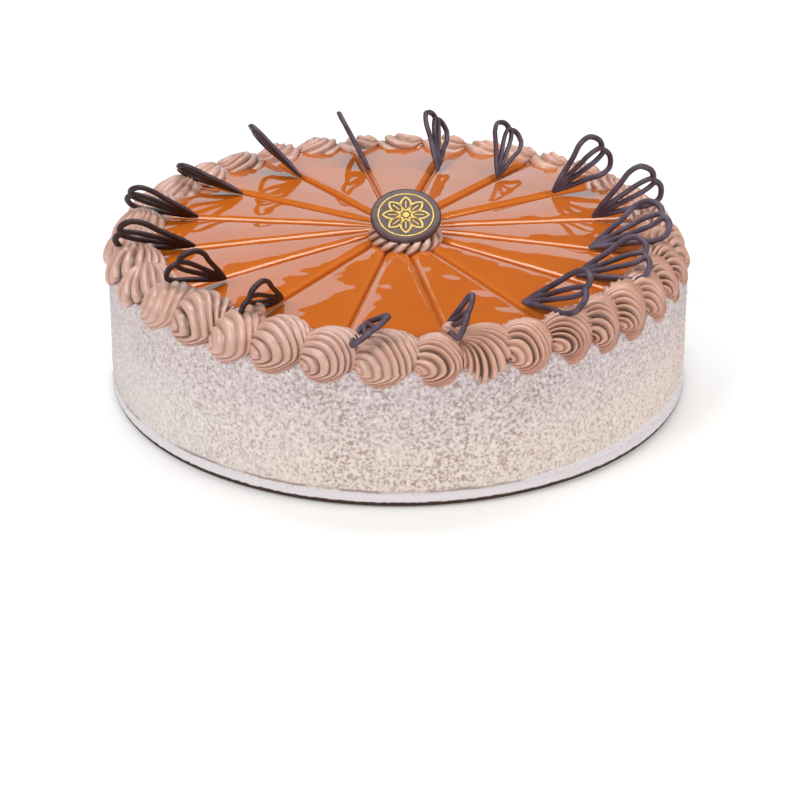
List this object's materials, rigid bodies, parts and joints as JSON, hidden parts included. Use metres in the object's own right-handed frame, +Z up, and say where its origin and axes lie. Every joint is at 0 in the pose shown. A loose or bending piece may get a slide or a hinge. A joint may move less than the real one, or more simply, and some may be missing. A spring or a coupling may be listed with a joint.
{
  "type": "layer torte",
  "caption": "Round uncut torte coated with ground nuts, topped with caramel sectors, piped cream shells, filigree chocolate fans and a chocolate disc.",
  "frame": {"origin": "centre of the flat base", "axes": "+Z up, -Y toward the front that the picture shows, +X to its right"},
  "size_m": [0.246, 0.2462, 0.0886],
  "materials": {
    "nut_coating": "rough, crumbly",
    "caramel": "glossy glaze",
    "buttercream": "satin",
    "dark_chocolate": "satin",
    "disc_chocolate": "satin"
  },
  "bodies": {
    "root": {"cake_body": "nut_coating", "caramel_wedge_01": "caramel", "caramel_wedge_02": "caramel", "caramel_wedge_03": "caramel", "caramel_wedge_04": "caramel", "caramel_wedge_05": "caramel", "caramel_wedge_06": "caramel", "caramel_wedge_07": "caramel", "caramel_wedge_08": "caramel", "caramel_wedge_09": "caramel", "caramel_wedge_10": "caramel", "caramel_wedge_11": "caramel", "caramel_wedge_12": "caramel", "caramel_wedge_13": "caramel", "caramel_wedge_14": "caramel", "caramel_wedge_15": "caramel", "caramel_wedge_16": "caramel", "cream_border": "buttercream", "chocolate_fan_01": "dark_chocolate", "chocolate_fan_02": "dark_chocolate", "chocolate_fan_03": "dark_chocolate", "chocolate_fan_04": "dark_chocolate", "chocolate_fan_05": "dark_chocolate", "chocolate_fan_06": "dark_chocolate", "chocolate_fan_07": "dark_chocolate", "chocolate_fan_08": "dark_chocolate", "chocolate_fan_09": "dark_chocolate", "chocolate_fan_10": "dark_chocolate", "chocolate_fan_11": "dark_chocolate", "chocolate_fan_12": "dark_chocolate", "chocolate_fan_13": "dark_chocolate", "chocolate_fan_14": "dark_chocolate", "chocolate_fan_15": "dark_chocolate", "chocolate_fan_16": "dark_chocolate", "centre_rosette": "buttercream", "medallion": "disc_chocolate"}
  },
  "joints": []
}
